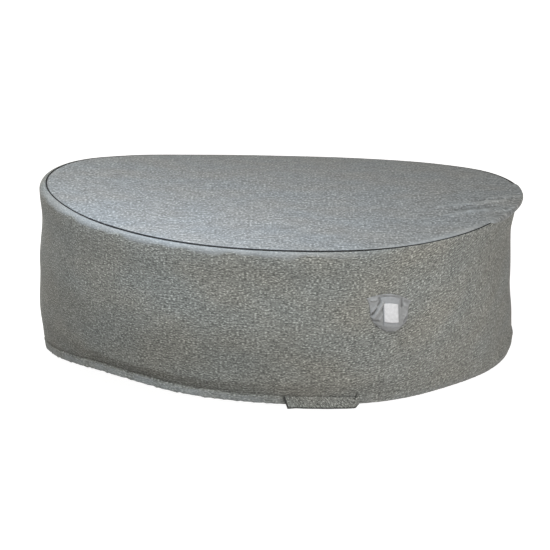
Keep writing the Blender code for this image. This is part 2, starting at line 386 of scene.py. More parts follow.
class Nodes:
    """A small helper that adds and links the nodes of one material."""

    FIRST_COLOUR = 6
    MIXED_COLOUR = 2

    def __init__(self, name: str) -> None:
        """Start a material with a Principled shader."""
        self.material = bpy.data.materials.new(name)
        self.material.use_nodes = True
        self.tree = self.material.node_tree
        self.shader = self.tree.nodes["Principled BSDF"]

    def add(self, kind: str, **inputs: object) -> bpy.types.Node:
        """Add a node and set its inputs by name, with spaces written as underscores.

        Args:
            kind: the node's type name.
            inputs: values for its inputs, or sockets to link to them.

        Returns:
            The new node.
        """
        node = self.tree.nodes.new(kind)
        for key, value in inputs.items():
            self.put(node.inputs[key.replace("_", " ")], value)
        return node

    def put(self, socket: Socket, value: object) -> None:
        """Link a socket to an input, or set the input's value."""
        if isinstance(value, Socket):
            self.tree.links.new(value, socket)
        else:
            socket.default_value = value

    def math(self, operation: str, a: object, b: object = 0.0, clamp: bool = False) -> Socket:
        """Add a maths node on two values and return its output."""
        node = self.tree.nodes.new("ShaderNodeMath")
        node.operation = operation
        node.use_clamp = clamp
        self.put(node.inputs[0], a)
        self.put(node.inputs[1], b)
        return node.outputs[0]

    def noise(self, vector: Socket, detail: float = 2.0, rough: float = 0.5) -> Socket:
        """Add a noise texture of one lump per unit and return its value."""
        node = self.add(
            "ShaderNodeTexNoise", Vector=vector, Scale=1.0, Detail=detail, Roughness=rough
        )
        return node.outputs["Fac"]

    def span(
        self, value: Socket, low: float, high: float, to_low: float = 0.0, to_high: float = 1.0
    ) -> Socket:
        """Map a range of a value to another range, held at its ends, and return it."""
        node = self.tree.nodes.new("ShaderNodeMapRange")
        node.clamp = True
        for key, number in (
            ("Value", value),
            ("From Min", low),
            ("From Max", high),
            ("To Min", to_low),
            ("To Max", to_high),
        ):
            self.put(node.inputs[key], number)
        return node.outputs["Result"]

    def blend(self, share: object, colour_a: object, colour_b: object, kind: str = "MIX") -> Socket:
        """Mix two colours, each a socket or three numbers, and return the result."""
        colour_a, colour_b = (
            colour if isinstance(colour, Socket) else (*colour, 1.0)
            for colour in (colour_a, colour_b)
        )
        node = self.tree.nodes.new("ShaderNodeMix")
        node.data_type = "RGBA"
        node.blend_type = kind
        self.put(node.inputs["Factor"], share)
        for index, colour in enumerate((colour_a, colour_b), self.FIRST_COLOUR):
            self.put(node.inputs[index], colour)
        return node.outputs[self.MIXED_COLOUR]

    def grey(self, value: Socket) -> Socket:
        """Return a grey of a value."""
        node = self.add("ShaderNodeCombineColor", Red=value, Green=value, Blue=value)
        return node.outputs["Color"]

    def stretched(self, u: float, v: float, turn: float = 0.0) -> Socket:
        """Return the cloth map turned in degrees, with u and v lumps per metre."""
        cloth = self.tree.nodes.new("ShaderNodeUVMap")
        cloth.uv_map = CLOTH_MAP
        mapping = self.add("ShaderNodeMapping", Vector=cloth.outputs["UV"])
        mapping.inputs["Rotation"].default_value = (0.0, 0.0, math.radians(turn))
        turned = mapping.outputs["Vector"]
        scale = self.add("ShaderNodeMapping", Vector=turned, Scale=(u, v, 1.0))
        return scale.outputs["Vector"]

    def add_painted_light(self, colour: Socket, painted_highlight: Colour, painted_shade: Colour, share: float) -> Socket:
        """Paint highlight or shade into a colour, by the piece's painted-light attribute from -1 to
        1.

        Args:
            colour: the cloth's colour.
            painted_highlight: the painted highlight colour, full where the attribute is 1.
            painted_shade: the painted shade colour, full where the attribute is -1.
            share: how much of either shows at most.

        Returns:
            The blended colour.
        """
        # Painted highlight where the attribute is positive, painted shade where it is negative.
        tone = self.tree.nodes.new("ShaderNodeAttribute")
        tone.attribute_name = PAINTED_LIGHT_MAP
        up = self.math("MULTIPLY", tone.outputs["Fac"], share, clamp=True)
        down = self.math("MULTIPLY", tone.outputs["Fac"], -share, clamp=True)
        return self.blend(down, self.blend(up, colour, painted_highlight), painted_shade)

    def checks(self, size: float, turn: float = 0.0) -> Socket:
        """Return the over and under of yarns of a size, turned in degrees."""
        yarns = self.stretched(1.0 / size, 1.0 / size, turn)
        return self.add("ShaderNodeTexChecker", Vector=yarns, Scale=1.0).outputs["Fac"]

    def bump(
        self, height: Socket, distance: float, strength: float, under: Socket | None = None
    ) -> Socket:
        """Add a bump on top of another and return its normal."""
        node = self.add("ShaderNodeBump", Height=height, Distance=distance, Strength=strength)
        if under is not None:
            self.put(node.inputs["Normal"], under)
        return node.outputs["Normal"]

    def finish(self, colour: Socket, normal: Socket, roughness: object, specular: float) -> None:
        """Link the colour and the normal to the shader, and set how it shines."""
        for key, value in (
            ("Base Color", colour),
            ("Normal", normal),
            ("Roughness", roughness),
            ("Specular IOR Level", specular),
        ):
            self.put(self.shader.inputs[key], value)


@dataclass(frozen=True)
class HeatherWeave:
    """Heather-dyed woven polyester: dark and light yarns in short slubs along the weft."""

    name: str
    dark: Colour
    light: Colour
    fleck: Colour
    weft_turn: float = 0.0
    roughness: float = 0.82
    roughness_spread: float = 0.06
    slub_length: float = 0.0105
    slub_height: float = 0.0058
    slub_bump: float = 0.0009
    slub_share: float = 0.58
    streak_stretch: float = 4.0
    yarn: float = 0.0016
    yarn_bump: float = 0.0002
    contrast: float = 1.0
    grain_reach: float = 0.16
    fleck_range: tuple[float, float] = (0.62, 0.72)
    fleck_share: float = 0.85
    cloud_shade: float = 0.08
    cool: Colour = (0.975, 1.0, 1.020)
    warm: Colour = (1.020, 1.0, 0.975)
    # Colours of the painted highlight and the painted shade, blended in by the painted-light
    # attribute.
    painted_highlight: Colour = (0.285, 0.305, 0.320)
    painted_shade: Colour = (0.045, 0.046, 0.044)
    painted_light_share: float = 0.0
    sheen: float = 0.12

    def build(self) -> bpy.types.Material:
        """Return the material, with its pattern on the cloth map, which is in metres."""
        n = Nodes(self.name)
        turn = self.weft_turn
        wide = 1.0 / self.slub_length
        high = 1.0 / self.slub_height
        fine = n.noise(n.stretched(wide, high, turn), 1.0)
        long = n.noise(n.stretched(wide / self.streak_stretch, high, turn))
        cloud = n.noise(n.stretched(9.0, 12.0, turn))
        tint = n.noise(n.stretched(3.0, 5.0), 1.0)
        mixed = n.math(
            "ADD",
            n.math("MULTIPLY", fine, self.slub_share),
            n.math("MULTIPLY", long, 1.0 - self.slub_share),
        )
        reach = self.grain_reach / self.contrast
        colour = n.blend(n.span(mixed, 0.5 - reach, 0.5 + reach), self.dark, self.light)
        colour = n.blend(n.span(fine, *self.fleck_range, 0.0, self.fleck_share), colour, self.fleck)
        # Paint highlight and shade into the weave's colour by the piece's painted-light attribute.
        if self.painted_light_share > 0.0:
            colour = n.add_painted_light(colour, self.painted_highlight, self.painted_shade, self.painted_light_share)
        shade = n.span(cloud, 0.3, 0.7, 1.0 - self.cloud_shade, 1.0 + self.cloud_shade)
        colour = n.blend(1.0, colour, n.grey(shade), "MULTIPLY")
        mood = n.blend(n.span(tint, 0.35, 0.65), self.warm, self.cool)
        colour = n.blend(1.0, colour, mood, "MULTIPLY")
        rough = self.roughness
        spread = self.roughness_spread
        weave = n.checks(self.yarn, turn)
        normal = n.bump(fine, self.slub_bump, 0.55, n.bump(weave, self.yarn_bump, 0.25))
        n.finish(colour, normal, n.span(fine, 0.3, 0.7, rough + spread, rough - spread), 0.25)
        n.shader.inputs["Sheen Weight"].default_value = self.sheen
        n.shader.inputs["Sheen Roughness"].default_value = 0.5
        return n.material


@dataclass(frozen=True)
class PlainCloth:
    """Plain coated cloth of one colour, with a fine even weave and faint clouds."""

    name: str
    colour: Colour
    roughness: float = 0.7
    yarn: float = 0.0012
    clouds_per_metre: float = 60.0
    cloud_shade: float = 0.1
    # Factors of the colour for its painted highlight and its painted shade.
    painted_highlight_factor: float = 1.5
    painted_shade_factor: float = 0.15
    painted_light_share: float = 0.0

    def build(self) -> bpy.types.Material:
        """Return the material, with its pattern on the cloth map, which is in metres."""
        n = Nodes(self.name)
        cloud = n.noise(n.stretched(self.clouds_per_metre, self.clouds_per_metre), 3.0, 0.55)
        shade = n.span(cloud, 0.3, 0.7, 1.0 - self.cloud_shade, 1.0 + self.cloud_shade)
        colour = n.blend(1.0, self.colour, n.grey(shade), "MULTIPLY")
        # Paint highlight and shade into the colour by the piece's painted-light attribute.
        if self.painted_light_share > 0.0:
            painted_highlight, painted_shade = (
                tuple(value * factor for value in self.colour)
                for factor in (self.painted_highlight_factor, self.painted_shade_factor)
            )
            colour = n.add_painted_light(colour, painted_highlight, painted_shade, self.painted_light_share)
        normal = n.bump(cloud, 0.0010, 0.4, n.bump(n.checks(self.yarn), 0.0002, 0.3))
        n.finish(colour, normal, self.roughness, 0.3)
        return n.material


def deselect() -> None:
    """Deselect everything, so that an operator acts on its own piece only."""
    bpy.ops.object.select_all(action="DESELECT")


def read_points(mesh: bpy.types.Mesh) -> Array:
    """Return a mesh's points, one row of three numbers each."""
    flat = np.empty(len(mesh.vertices) * 3, np.float32)
    mesh.vertices.foreach_get("co", flat)
    return flat.reshape(-1, 3).astype(float)


def write_points(mesh: bpy.types.Mesh, points: Array) -> None:
    """Move a mesh's points to new places."""
    mesh.vertices.foreach_set("co", points.astype(np.float32).ravel())


@dataclass
class SheetMaker:
    """Makes sheets of cloth from a grid primitive shaped by a function."""

    join_distance: float = 0.00005

    def grid(
        self,
        name: str,
        columns: int,
        rows: int,
        shape: Shape,
        cloth: Shape,
        ring: bool = False,
        tone: Shape | None = None,
    ) -> Object:
        """Add a grid and move its points onto a surface.

        Args:
            name: the piece's name.
            columns: faces across.
            rows: faces down.
            shape: gives points from shares across and down, each from 0 to 1.
            cloth: gives places on the flat cloth, in metres, from the same shares.
            ring: whether the two sides meet and are joined.
            tone: gives the painted highlight (up to 1) or painted shade (down to -1) on the cloth,
                from the same shares.

        Returns:
            The piece.
        """
        deselect()
        bpy.ops.mesh.primitive_grid_add(
            x_subdivisions=columns, y_subdivisions=rows, size=1.0, location=(0.0, 0.0, 0.0)
        )
        piece = bpy.context.object
        piece.name = name
        mesh = piece.data
        mesh.name = name
        flat = read_points(mesh)
        across = flat[:, 0] + 0.5
        down = 0.5 - flat[:, 1]
        write_points(mesh, shape(across, down))
        places = cloth(across, down)
        corners = np.empty(len(mesh.loops), np.int32)
        mesh.loops.foreach_get("vertex_index", corners)
        layer = mesh.uv_layers[0]
        layer.name = CLOTH_MAP
        layer.data.foreach_set("uv", places[corners].astype(np.float32).ravel())
        # Store the painted highlight and painted shade of each point.
        if tone is not None:
            painted_levels = mesh.attributes.new(PAINTED_LIGHT_MAP, "FLOAT", "POINT")
            painted_levels.data.foreach_set("value", tone(across, down).astype(np.float32))
        mesh.update()
        if ring:
            bpy.ops.object.mode_set(mode="EDIT")
            bpy.ops.mesh.select_all(action="SELECT")
            bpy.ops.mesh.remove_doubles(threshold=self.join_distance)
            bpy.ops.object.mode_set(mode="OBJECT")
        bpy.ops.object.shade_smooth()
        return piece

    def thicken(self, piece: Object, thickness: float) -> None:
        """Give a sheet its thickness, behind its face, and apply it."""
        deselect()
        piece.select_set(True)
        bpy.context.view_layer.objects.active = piece
        solidify = piece.modifiers.new("Thickness", "SOLIDIFY")
        solidify.thickness = thickness
        solidify.offset = -1.0
        bpy.ops.object.modifier_apply(modifier=solidify.name)

    def finish(
        self, piece: Object, thickness: float, cloth: object, slot: str, node: str, **sheet: object
    ) -> Object:
        """Thicken and dress a sheet, and say what it is and stands for.

        Args:
            piece: the shaped sheet.
            thickness: its thickness.
            cloth: its finish.
            slot: the record's material slot; not used.
            node: the solid that it replaces.
            sheet: its flat size, how it is held, what it rests on, and its area if not a rectangle;
                not used.

        Returns:
            The finished piece.
        """
        self.thicken(piece, thickness)
        settle(piece, cloth.build(), node)
        return piece


def settle(piece: Object, material: bpy.types.Material, node: str) -> None:
    """Dress a piece, hang it on the body that it rides on, and hide the solid that it stands for.

    Args:
        piece: the finished piece.
        material: its finish.
        node: the solid that it replaces.
    """
    piece.data.materials.clear()
    piece.data.materials.append(material)
    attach(piece, BODY)
    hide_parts(node)
    LOG.info("%s: %d faces", piece.name, len(piece.data.polygons))


@dataclass
class TopPanel:
    """The oval top, laid over the furniture, with shallow folds and a rolled edge."""

    form: CoverForm
    columns: int = 204
    roll_width: float = 0.022
    roll_height: float = 0.0035
    seam_gap: float = 0.0034
    edge_packing: float = 0.40
    wrap_middle: float = -14.0
    wrap_half: float = 24.0
    wrap_reach: float = 0.024
    wrap_drop: float = 0.022
    wrap_proud: float = 0.0034
    wrap_turned: float = 0.6
    sag: float = 0.0012
    crease_full: float = 0.009
    cloth_colour: HeatherWeave = HeatherWeave(
        "Heather weave of the top",
        (0.148, 0.156, 0.160),
        (0.318, 0.334, 0.340),
        (0.50, 0.52, 0.53),
        slub_length=0.0115,
        slub_height=0.017,
        contrast=1.3,
        # Colour of the painted highlight on the rolled front edge and the fold ridges.
        painted_highlight=(0.350, 0.372, 0.385),
        painted_light_share=0.8,
    )

    def packed(self, share: Array) -> Array:
        """Return shares from -1 to 1 drawn together near both ends, for the rolled edge."""
        return share * (1.0 + self.edge_packing * (1.0 - share**2))

    def wrap(self, angle: Array, inward: Array) -> tuple[Array, ...]:
        """Fold the edge over the piping and down the skirt, where the cloth is pulled over.

        Args:
            angle: angles in degrees.
            inward: how far inside the oval each place lies.

        Returns:
            How much of each place is folded over, how far out it goes and how high it lies.
        """
        form = self.form
        apart = np.abs(turn_apart(angle, self.wrap_middle)) / self.wrap_half
        over = smooth_step((1.0 - apart) / 0.6)
        run = np.clip(1.0 - inward / self.wrap_reach, 0.0, 1.0)
        turned = self.wrap_turned
        drop = self.wrap_drop * over * np.clip((run - turned) / (1.0 - turned), 0.0, 1.0)
        down_out = form.skirt_out(angle, drop) + self.wrap_proud
        start_out = form.skirt_seam + self.wrap_proud
        runs = (0.0, 0.35, 0.48, turned)
        up_out = np.interp(run, runs, (-self.wrap_reach, 0.002, 0.0075, start_out))
        up = np.interp(run, runs, (0.0, 0.0064, 0.0045, 0.0004))
        share = smooth_step(over / 0.25) * (run > 0.0)
        return share, np.where(run > turned, down_out, up_out), np.where(run > turned, -drop, up)

    def plan(self, across: Array, down: Array) -> tuple[Array, Array]:
        """Return plan places of a square grid spread over the oval."""
        u = self.packed(2.0 * across - 1.0)
        v = self.packed(1.0 - 2.0 * down)
        wide = np.abs(u) >= np.abs(v)
        long = np.where(wide, u, v)
        ratio = np.where(wide, v, u) / np.where(long == 0.0, 1.0, long)
        turn = np.where(wide, ratio, 2.0 - ratio) * math.pi / 4.0
        return (
            long * np.cos(turn) * self.form.half_length,
            long * np.sin(turn) * self.form.half_width,
        )

    def rim(self, x: Array, y: Array) -> tuple[Array, Array]:
        """Return each plan place's angle and how far inside the oval it lies."""
        share, angle = self.form.polar(x, y)
        return angle, (1.0 - share) * np.hypot(x, y) / np.maximum(share, 0.2)

    def face(self, across: Array, down: Array) -> Array:
        """Return points of the panel's upper face."""
        form = self.form
        x, y = self.plan(across, down)
        angle, inward = self.rim(x, y)
        height = form.top_height(x, y) + form.crease(x, y) * smooth_step(inward / 0.02)
        roll = smooth_step(inward / self.roll_width) + smooth_step(inward / 0.004)
        height = height + self.roll_height * (roll - 1.0)
        turn = angle / 360.0
        pucker = ripple(turn, ((61, 0.5, 0.3), (97, 0.4, 1.7), (143, 0.3, 4.0))) * MILLIMETRE
        near = smooth_step(inward / 0.008) * smooth_step(1.0 - inward / 0.07)
        height = height + pucker * near
        sag = np.sin(5.3 * x + 2.1 * y + 0.4) * np.sin(6.1 * y - 1.7 * x)
        height = height + self.sag * sag * smooth_step(inward / 0.1)
        wrapped, out, up = self.wrap(angle, inward)
        gap = self.seam_gap * smooth_step(1.0 - inward / 0.1)
        out = wrapped * (out + inward) - (1.0 - wrapped) * gap
        height = (1.0 - wrapped) * height + wrapped * (form.piping(angle)[..., 2] + up)
        way = form.outward(angle)
        return np.stack([x + way[..., 0] * out, y + way[..., 1] * out, height], axis=-1)

    def tone(self, across: Array, down: Array) -> Array:
        """Return the painted light: a painted highlight on the rolled front edge and on the fold
        ridges at the right end, painted shade in the fold troughs there.
        """
        x, y = self.plan(across, down)
        angle, inward = self.rim(x, y)
        # Painted highlight along the rolled front edge, where it faces the light; widest near -46
        # degrees.
        broad = smooth_step(1.0 - np.abs(turn_apart(angle, -46.0)) / 26.0)
        front = smooth_step((54.0 - np.abs(turn_apart(angle, -82.0))) / 18.0)
        rolled = front * smooth_step(1.0 - inward / (0.024 + 0.040 * broad))
        # Painted highlight on the fold ridges and painted shade in the fold troughs at the right
        # end.
        right = smooth_step((44.0 - np.abs(turn_apart(angle, -14.0))) / 16.0)
        folds = right * self.form.crease(x, y) / self.crease_full
        return np.clip(rolled + folds, -0.4, 1.0)

    def cloth(self, across: Array, down: Array) -> Array:
        """Return places on the flat cloth."""
        return np.stack(self.plan(across, down), axis=-1)

    def build(self, maker: SheetMaker) -> Object:
        """Return the finished panel."""
        form = self.form
        piece = maker.grid(
            "top_sheet", self.columns, self.columns, self.face, self.cloth, tone=self.tone
        )
        return maker.finish(
            piece,
            form.top_thickness,
            self.cloth_colour,
            "top_cloth",
            "top_panel",
            flat=(2.0 * form.half_length, 2.0 * form.half_width),
            held=Held.LAID.value,
            rests_on=["top_panel"],
            area=math.pi * form.half_length * form.half_width,
        )


@dataclass
class Piping:
    """The dark piping in the seam between top and skirt."""

    form: CoverForm
    radius: float = 0.0027
    front_radius: float = 0.0047
    front_lift: float = 0.0020
    around: int = 480
    sides: int = 10
    finish: PlainCloth = PlainCloth("Dark piping", (0.018, 0.019, 0.020), 0.8, 0.0015)

    def build(self) -> Object:
        """Return the piping, a ring shaped onto the seam."""
        form = self.form
        deselect()
        bpy.ops.mesh.primitive_torus_add(
            major_segments=self.around,
            minor_segments=self.sides,
            major_radius=1.0,
            minor_radius=self.radius,
            generate_uvs=True,
        )
        piece = bpy.context.object
        piece.name = "piping_ring"
        mesh = piece.data
        ring = read_points(mesh)
        angle = np.degrees(np.arctan2(ring[:, 1], ring[:, 0]))
        side = np.hypot(ring[:, 0], ring[:, 1]) - 1.0
        front = smooth_step((50.0 - np.abs(turn_apart(angle, -104.0))) / 24.0)
        fuller = 1.0 + (self.front_radius / self.radius - 1.0) * front
        points = form.piping(angle) + form.outward(angle) * (side * fuller)[:, None]
        points[:, 2] += ring[:, 2] * fuller + self.front_lift * front
        write_points(mesh, points)
        layer = mesh.uv_layers[0]
        layer.name = CLOTH_MAP
        places = np.empty(len(mesh.loops) * 2, np.float32)
        layer.data.foreach_get("uv", places)
        places = places.reshape(-1, 2) * (form.around, 2.0 * math.pi * self.radius)
        layer.data.foreach_set("uv", places.astype(np.float32).ravel())
        mesh.update()
        bpy.ops.object.shade_smooth()
        settle(piece, self.finish.build(), "edge_piping")
        return piece


@dataclass
class Skirt:
    """The side cloth, with its shoulder, its soft lumps and its drawn-in, puckered hem."""

    form: CoverForm
    columns: int = 480
    rows: int = 96
    shoulder_share: float = 0.10
    hem_share: float = 0.14
    seam_tuck: float = 0.0029
    seam_overlap: float = 0.05
    flat_height: float = 0.80
    pucker: float = 0.0015
    stitch: float = 0.0016
    gathered_stitch: float = 0.0045
    gathered_flare: float = 0.007
    buckle: float = 0.0016
    notch_angle: float = -8.0
    notch_reach: float = 9.0
    notch_depth: float = 0.700
    notch: float = 0.007
    ridge_depth: float = 0.727
    ridge: float = 0.004
    lean: float = 0.42
    lean_start: float = 0.53
    lean_width: float = 0.22
    cloth_colour: HeatherWeave = HeatherWeave(
        "Heather weave of the skirt",
        (0.092, 0.095, 0.088),
        (0.296, 0.305, 0.285),
        (0.56, 0.58, 0.54),
        contrast=1.45,
        painted_light_share=0.6,
    )

    def place(self, across: Array, down: Array) -> tuple[Array, Array]:
        """Return angles and depths, with more rows on the shoulder and the hem."""
        form = self.form
        angle = SEAM_ANGLE + 360.0 * across
        fall = form.value("fall", angle)
        length = form.length(angle)
        turn = np.clip(down / self.shoulder_share, 0.0, 1.0) * math.pi / 2.0
        shoulder = fall * (1.0 - np.cos(turn))
        middle = (down - self.shoulder_share) / (1.0 - self.shoulder_share - self.hem_share)
        low = (down - 1.0 + self.hem_share) / self.hem_share
        hem_top = length - form.hem_band
        depth = np.where(down <= self.shoulder_share, shoulder, fall + (hem_top - fall) * middle)
        depth = np.where(low > 0.0, hem_top + form.hem_band * low, depth)
        return angle, depth

    def gather(self, angle: Array) -> Array:
        """Return how strongly the hem is puckered, from 0 to 1: most on the left front."""
        left = smooth_step((62.0 - np.abs(turn_apart(angle, -140.0))) / 30.0)
        return 0.25 + 0.75 * left

    def detail(self, angle: Array, depth: Array) -> tuple[Array, Array]:
        """Return how far the small folds move the cloth out, and up."""
        form = self.form
        length = form.length(angle)
        above = length - depth
        turn = (angle % 360.0) / 360.0
        puckers = ripple(turn, ((151, 1.0, 0.6), (203, 0.8, 2.9), (97, 0.7, 5.1), (259, 0.5, 1.2)))
        strength = self.gather(angle)
        band = smooth_step(above / 0.004) * smooth_step(1.0 - (above - 0.008) / 0.042)
        out = self.pucker * puckers * strength * band
        stitch = self.stitch + self.gathered_stitch * strength
        out = out - stitch * bell((above - form.hem_band) / 0.006)
        flare = smooth_step(1.0 - above / form.hem_band)
        out = out + self.gathered_flare * strength * flare
        rising = ripple(turn, ((43, 0.9, 0.8), (61, 0.63, 3.3), (29, 0.72, 5.0))) * MILLIMETRE
        out = out + rising * strength * smooth_step(1.0 - above / 0.20)
        buckle = np.sin(2.0 * np.pi * (9.0 * turn + 1.1 * depth) + 1.3) * np.sin(
            2.0 * np.pi * (5.0 * turn - 1.7 * depth) + 0.4
        )
        out = out + self.buckle * buckle * smooth_step(depth / 0.1)
        beside = bell(turn_apart(angle, self.notch_angle) / self.notch_reach)
        out = out - self.notch * beside * bell((depth - self.notch_depth) / 0.012)
        out = out + self.ridge * beside * bell((depth - self.ridge_depth) / 0.014)
        seam = bell(turn_apart(angle, SEAM_ANGLE) / 0.35)
        out = out - self.pucker * seam * smooth_step(depth / 0.05)
        edge = smooth_step(1.0 - above / 0.02)
        lift = 1.2 * MILLIMETRE * puckers * strength * edge
        return out, lift

    def face(self, across: Array, down: Array) -> Array:
        """Return points of the skirt's outer face."""
        angle, depth = self.place(across, down)
        out, lift = self.detail(angle, depth)
        out = out - self.seam_tuck * smooth_step(1.0 - down / 0.025)
        points = self.form.skirt(angle, depth, out)
        points[..., 2] += lift
        return points

    def tone(self, across: Array, down: Array) -> Array:
        """Return the painted light: a painted highlight on the shoulder, most on the left, and on
        the turned hem band, painted shade in the crease above the band.
        """
        angle, depth = self.place(across, down)
        turn = (angle % 360.0) / 360.0
        scallops = ripple(turn, ((23, 0.006, 0.5), (41, 0.004, 2.2), (67, 0.003, 4.4)))
        # Painted highlight along the rounded shoulder, where it faces the light from above.
        left = smooth_step((60.0 - np.abs(turn_apart(angle, -122.0))) / 26.0)
        shoulder = (0.06 + 0.94 * left) * smooth_step((0.030 + scallops - depth) / 0.014)
        above = self.form.length(angle) - depth - scallops / 3.0
        # Mottled painted highlight on the hem band and painted shade in the crease above it,
        # strongest where the hem is gathered.
        mottle = 0.55 + ripple(turn, ((29, 0.16, 1.1), (53, 0.13, 3.0), (97, 0.10, 0.4)))
        band = mottle * smooth_step((self.form.hem_band * 0.8 - above) / 0.006)
        crease = bell((above - self.form.hem_band) / 0.005)
        hem = self.gather(angle)
        return np.clip(shoulder + hem * (1.1 * band - 0.8 * crease), -1.0, 1.0)

    def cloth(self, across: Array, down: Array) -> Array:
        """Return places on the flat cloth."""
        angle, depth = self.place(across, down)
        fall = self.form.value("fall", angle)
        bend = np.hypot(fall, self.form.value("shoulder", angle)) * math.pi / math.sqrt(8.0)
        along = bend * np.clip(down / self.shoulder_share, 0.0, 1.0)
        along = along + np.clip(depth - fall, 0.0, None)
        lean = self.lean * smooth_step((across - self.lean_start) / self.lean_width)
        return np.stack([across * self.form.around, -along - lean], axis=-1)

    def build(self, maker: SheetMaker, hangs_from: Object) -> Object:
        """Return the finished skirt."""
        form = self.form
        piece = maker.grid(
            "skirt_sheet", self.columns, self.rows, self.face, self.cloth, True, self.tone
        )
        return maker.finish(
            piece,
            form.skirt_thickness,
            self.cloth_colour,
            "skirt_cloth",
            "skirt",
            flat=(form.around + self.seam_overlap, self.flat_height),
            held=Held.HUNG.value,
            rests_on=[hangs_from],
        )


@dataclass
class HemPocket:
    """The short pocket of bias-cut cloth over the hem, open at its left end."""

    form: CoverForm
    start: float = -90.1
    end: float = -72.6
    width: float = 0.36
    height: float = 0.058
    below_hem: float = 0.016
    out: float = 0.0075
    flare: float = 0.008
    corner: float = 0.018
    slant: float = 1.0
    cloth_colour: HeatherWeave = HeatherWeave(
        "Heather weave on the bias",
        (0.088, 0.091, 0.084),
        (0.292, 0.301, 0.281),
        (0.54, 0.56, 0.52),
        weft_turn=42.0,
        contrast=1.5,
        # Near-black colour of the painted shade at the open end, lower edge and notch.
        painted_shade=(0.010, 0.010, 0.010),
        painted_light_share=0.9,
    )

    def face(self, across: Array, down: Array) -> Array:
        """Return points of the pocket's outer face."""
        form = self.form
        angle = self.start + (self.end - self.start) * across
        angle = angle + self.slant * down * (1.0 - across) ** 6
        length = form.length(angle)
        bottom = length + self.below_hem
        corner = smooth_step((across - 0.93) / 0.07) ** 2
        bottom = bottom - self.corner * corner
        depth = bottom - self.height * (1.0 - down)
        band = length - form.hem_band
        open_end = smooth_step(1.0 - across * 6.0)
        proud = self.out + self.flare * open_end * down
        proud = proud + 1.2 * MILLIMETRE * np.sin(across * 23.0 + 1.0) * np.sin(down * 2.6)
        points = form.skirt(angle, np.minimum(depth, band), proud)
        points[..., 2] -= np.maximum(depth - band, 0.0)
        return points

    def tone(self, across: Array, down: Array) -> Array:
        """Return the painted shade: dark at its open end and its lower edge, and in one notch."""
        # Painted shade inside the open end, along the shadowed lower edge and in one notch.
        slit = smooth_step((0.036 - across) / 0.012)
        edge = 0.8 * smooth_step((down - 0.84) / 0.05)
        notch = bell((across - 0.95) / 0.02) * bell((down - 0.10) / 0.10)
        return -np.clip(slit + edge + notch, 0.0, 1.0)

    def cloth(self, across: Array, down: Array) -> Array:
        """Return places on the flat cloth."""
        return np.stack([across * self.width, -down * self.height], axis=-1)

    def build(self, maker: SheetMaker, hangs_from: Object) -> Object:
        """Return the finished pocket."""
        piece = maker.grid("hem_pocket_sheet", 120, 20, self.face, self.cloth, tone=self.tone)
        return maker.finish(
            piece,
            self.form.skirt_thickness,
            self.cloth_colour,
            "pocket_cloth",
            "hem_pocket",
            flat=(self.width, self.height),
            held=Held.HUNG.value,
            rests_on=[hangs_from],
        )


class HoodRow(NamedTuple):
    """A row of the vent hood, in millimetres."""

    down: float
    half_width: float
    ends_drop: float
    proud: float


HOOD_ROWS = (
    HoodRow(0, 112, 32, 3),
    HoodRow(20, 104, 26, 9),
    HoodRow(52, 98, 10, 15),
    HoodRow(92, 96, 0, 21),
    HoodRow(130, 92, -8, 24),
    HoodRow(160, 78, -12, 23),
    HoodRow(178, 56, -10, 19),
    HoodRow(185, 34, -5, 15),
)


class HoodFold(NamedTuple):
    """A fold of the hood, in millimetres: its ends from the middle of the top, and its size."""

    side0: float
    down0: float
    side1: float
    down1: float
    half_width: float
    height: float


HOOD_FOLDS = (
    HoodFold(-38, 44, -82, 122, 12, 9),
    HoodFold(-66, 66, -96, 104, 10, 7),
    HoodFold(-54, 50, -88, 112, 8, -7),
    HoodFold(-54, 26, -50, 44, 7, -9),
    HoodFold(61, 24, 58, 58, 8, -12),
    HoodFold(76, 52, 100, 60, 13, 7),
    HoodFold(70, 132, 96, 100, 8, -7),
    HoodFold(66, 116, 88, 84, 9, 5),
    HoodFold(-84, 140, -60, 134, 8, -7),
    HoodFold(-70, 34, -88, 40, 9, 6),
    HoodFold(78, 34, 98, 42, 8, -6),
    HoodFold(64, 96, 84, 104, 9, 5),
    HoodFold(-56, 126, -44, 100, 8, 5),
    HoodFold(-10, 182, 14, 182, 7, -8),
    HoodFold(-78, 158, -50, 172, 7, 6),
    HoodFold(56, 160, 78, 146, 7, -8),
    HoodFold(-20, 150, 40, 152, 10, 4),
)


class Patch(NamedTuple):
    """One piece of the vent: its surface, painted light and shade, finish, flat size, area and
    grid.
    """

    name: str
    face: Shape
    tone: Shape | None
    thickness: float
    finish: PlainCloth
    slot: str
    flat: tuple[float, float]
    area: dict[str, float]
    columns: int
    rows: int

    def cloth(self, share: Array, down: Array) -> Array:
        """Return places on the flat cloth."""
        return np.stack([share * self.flat[0], -down * self.flat[1]], axis=-1)


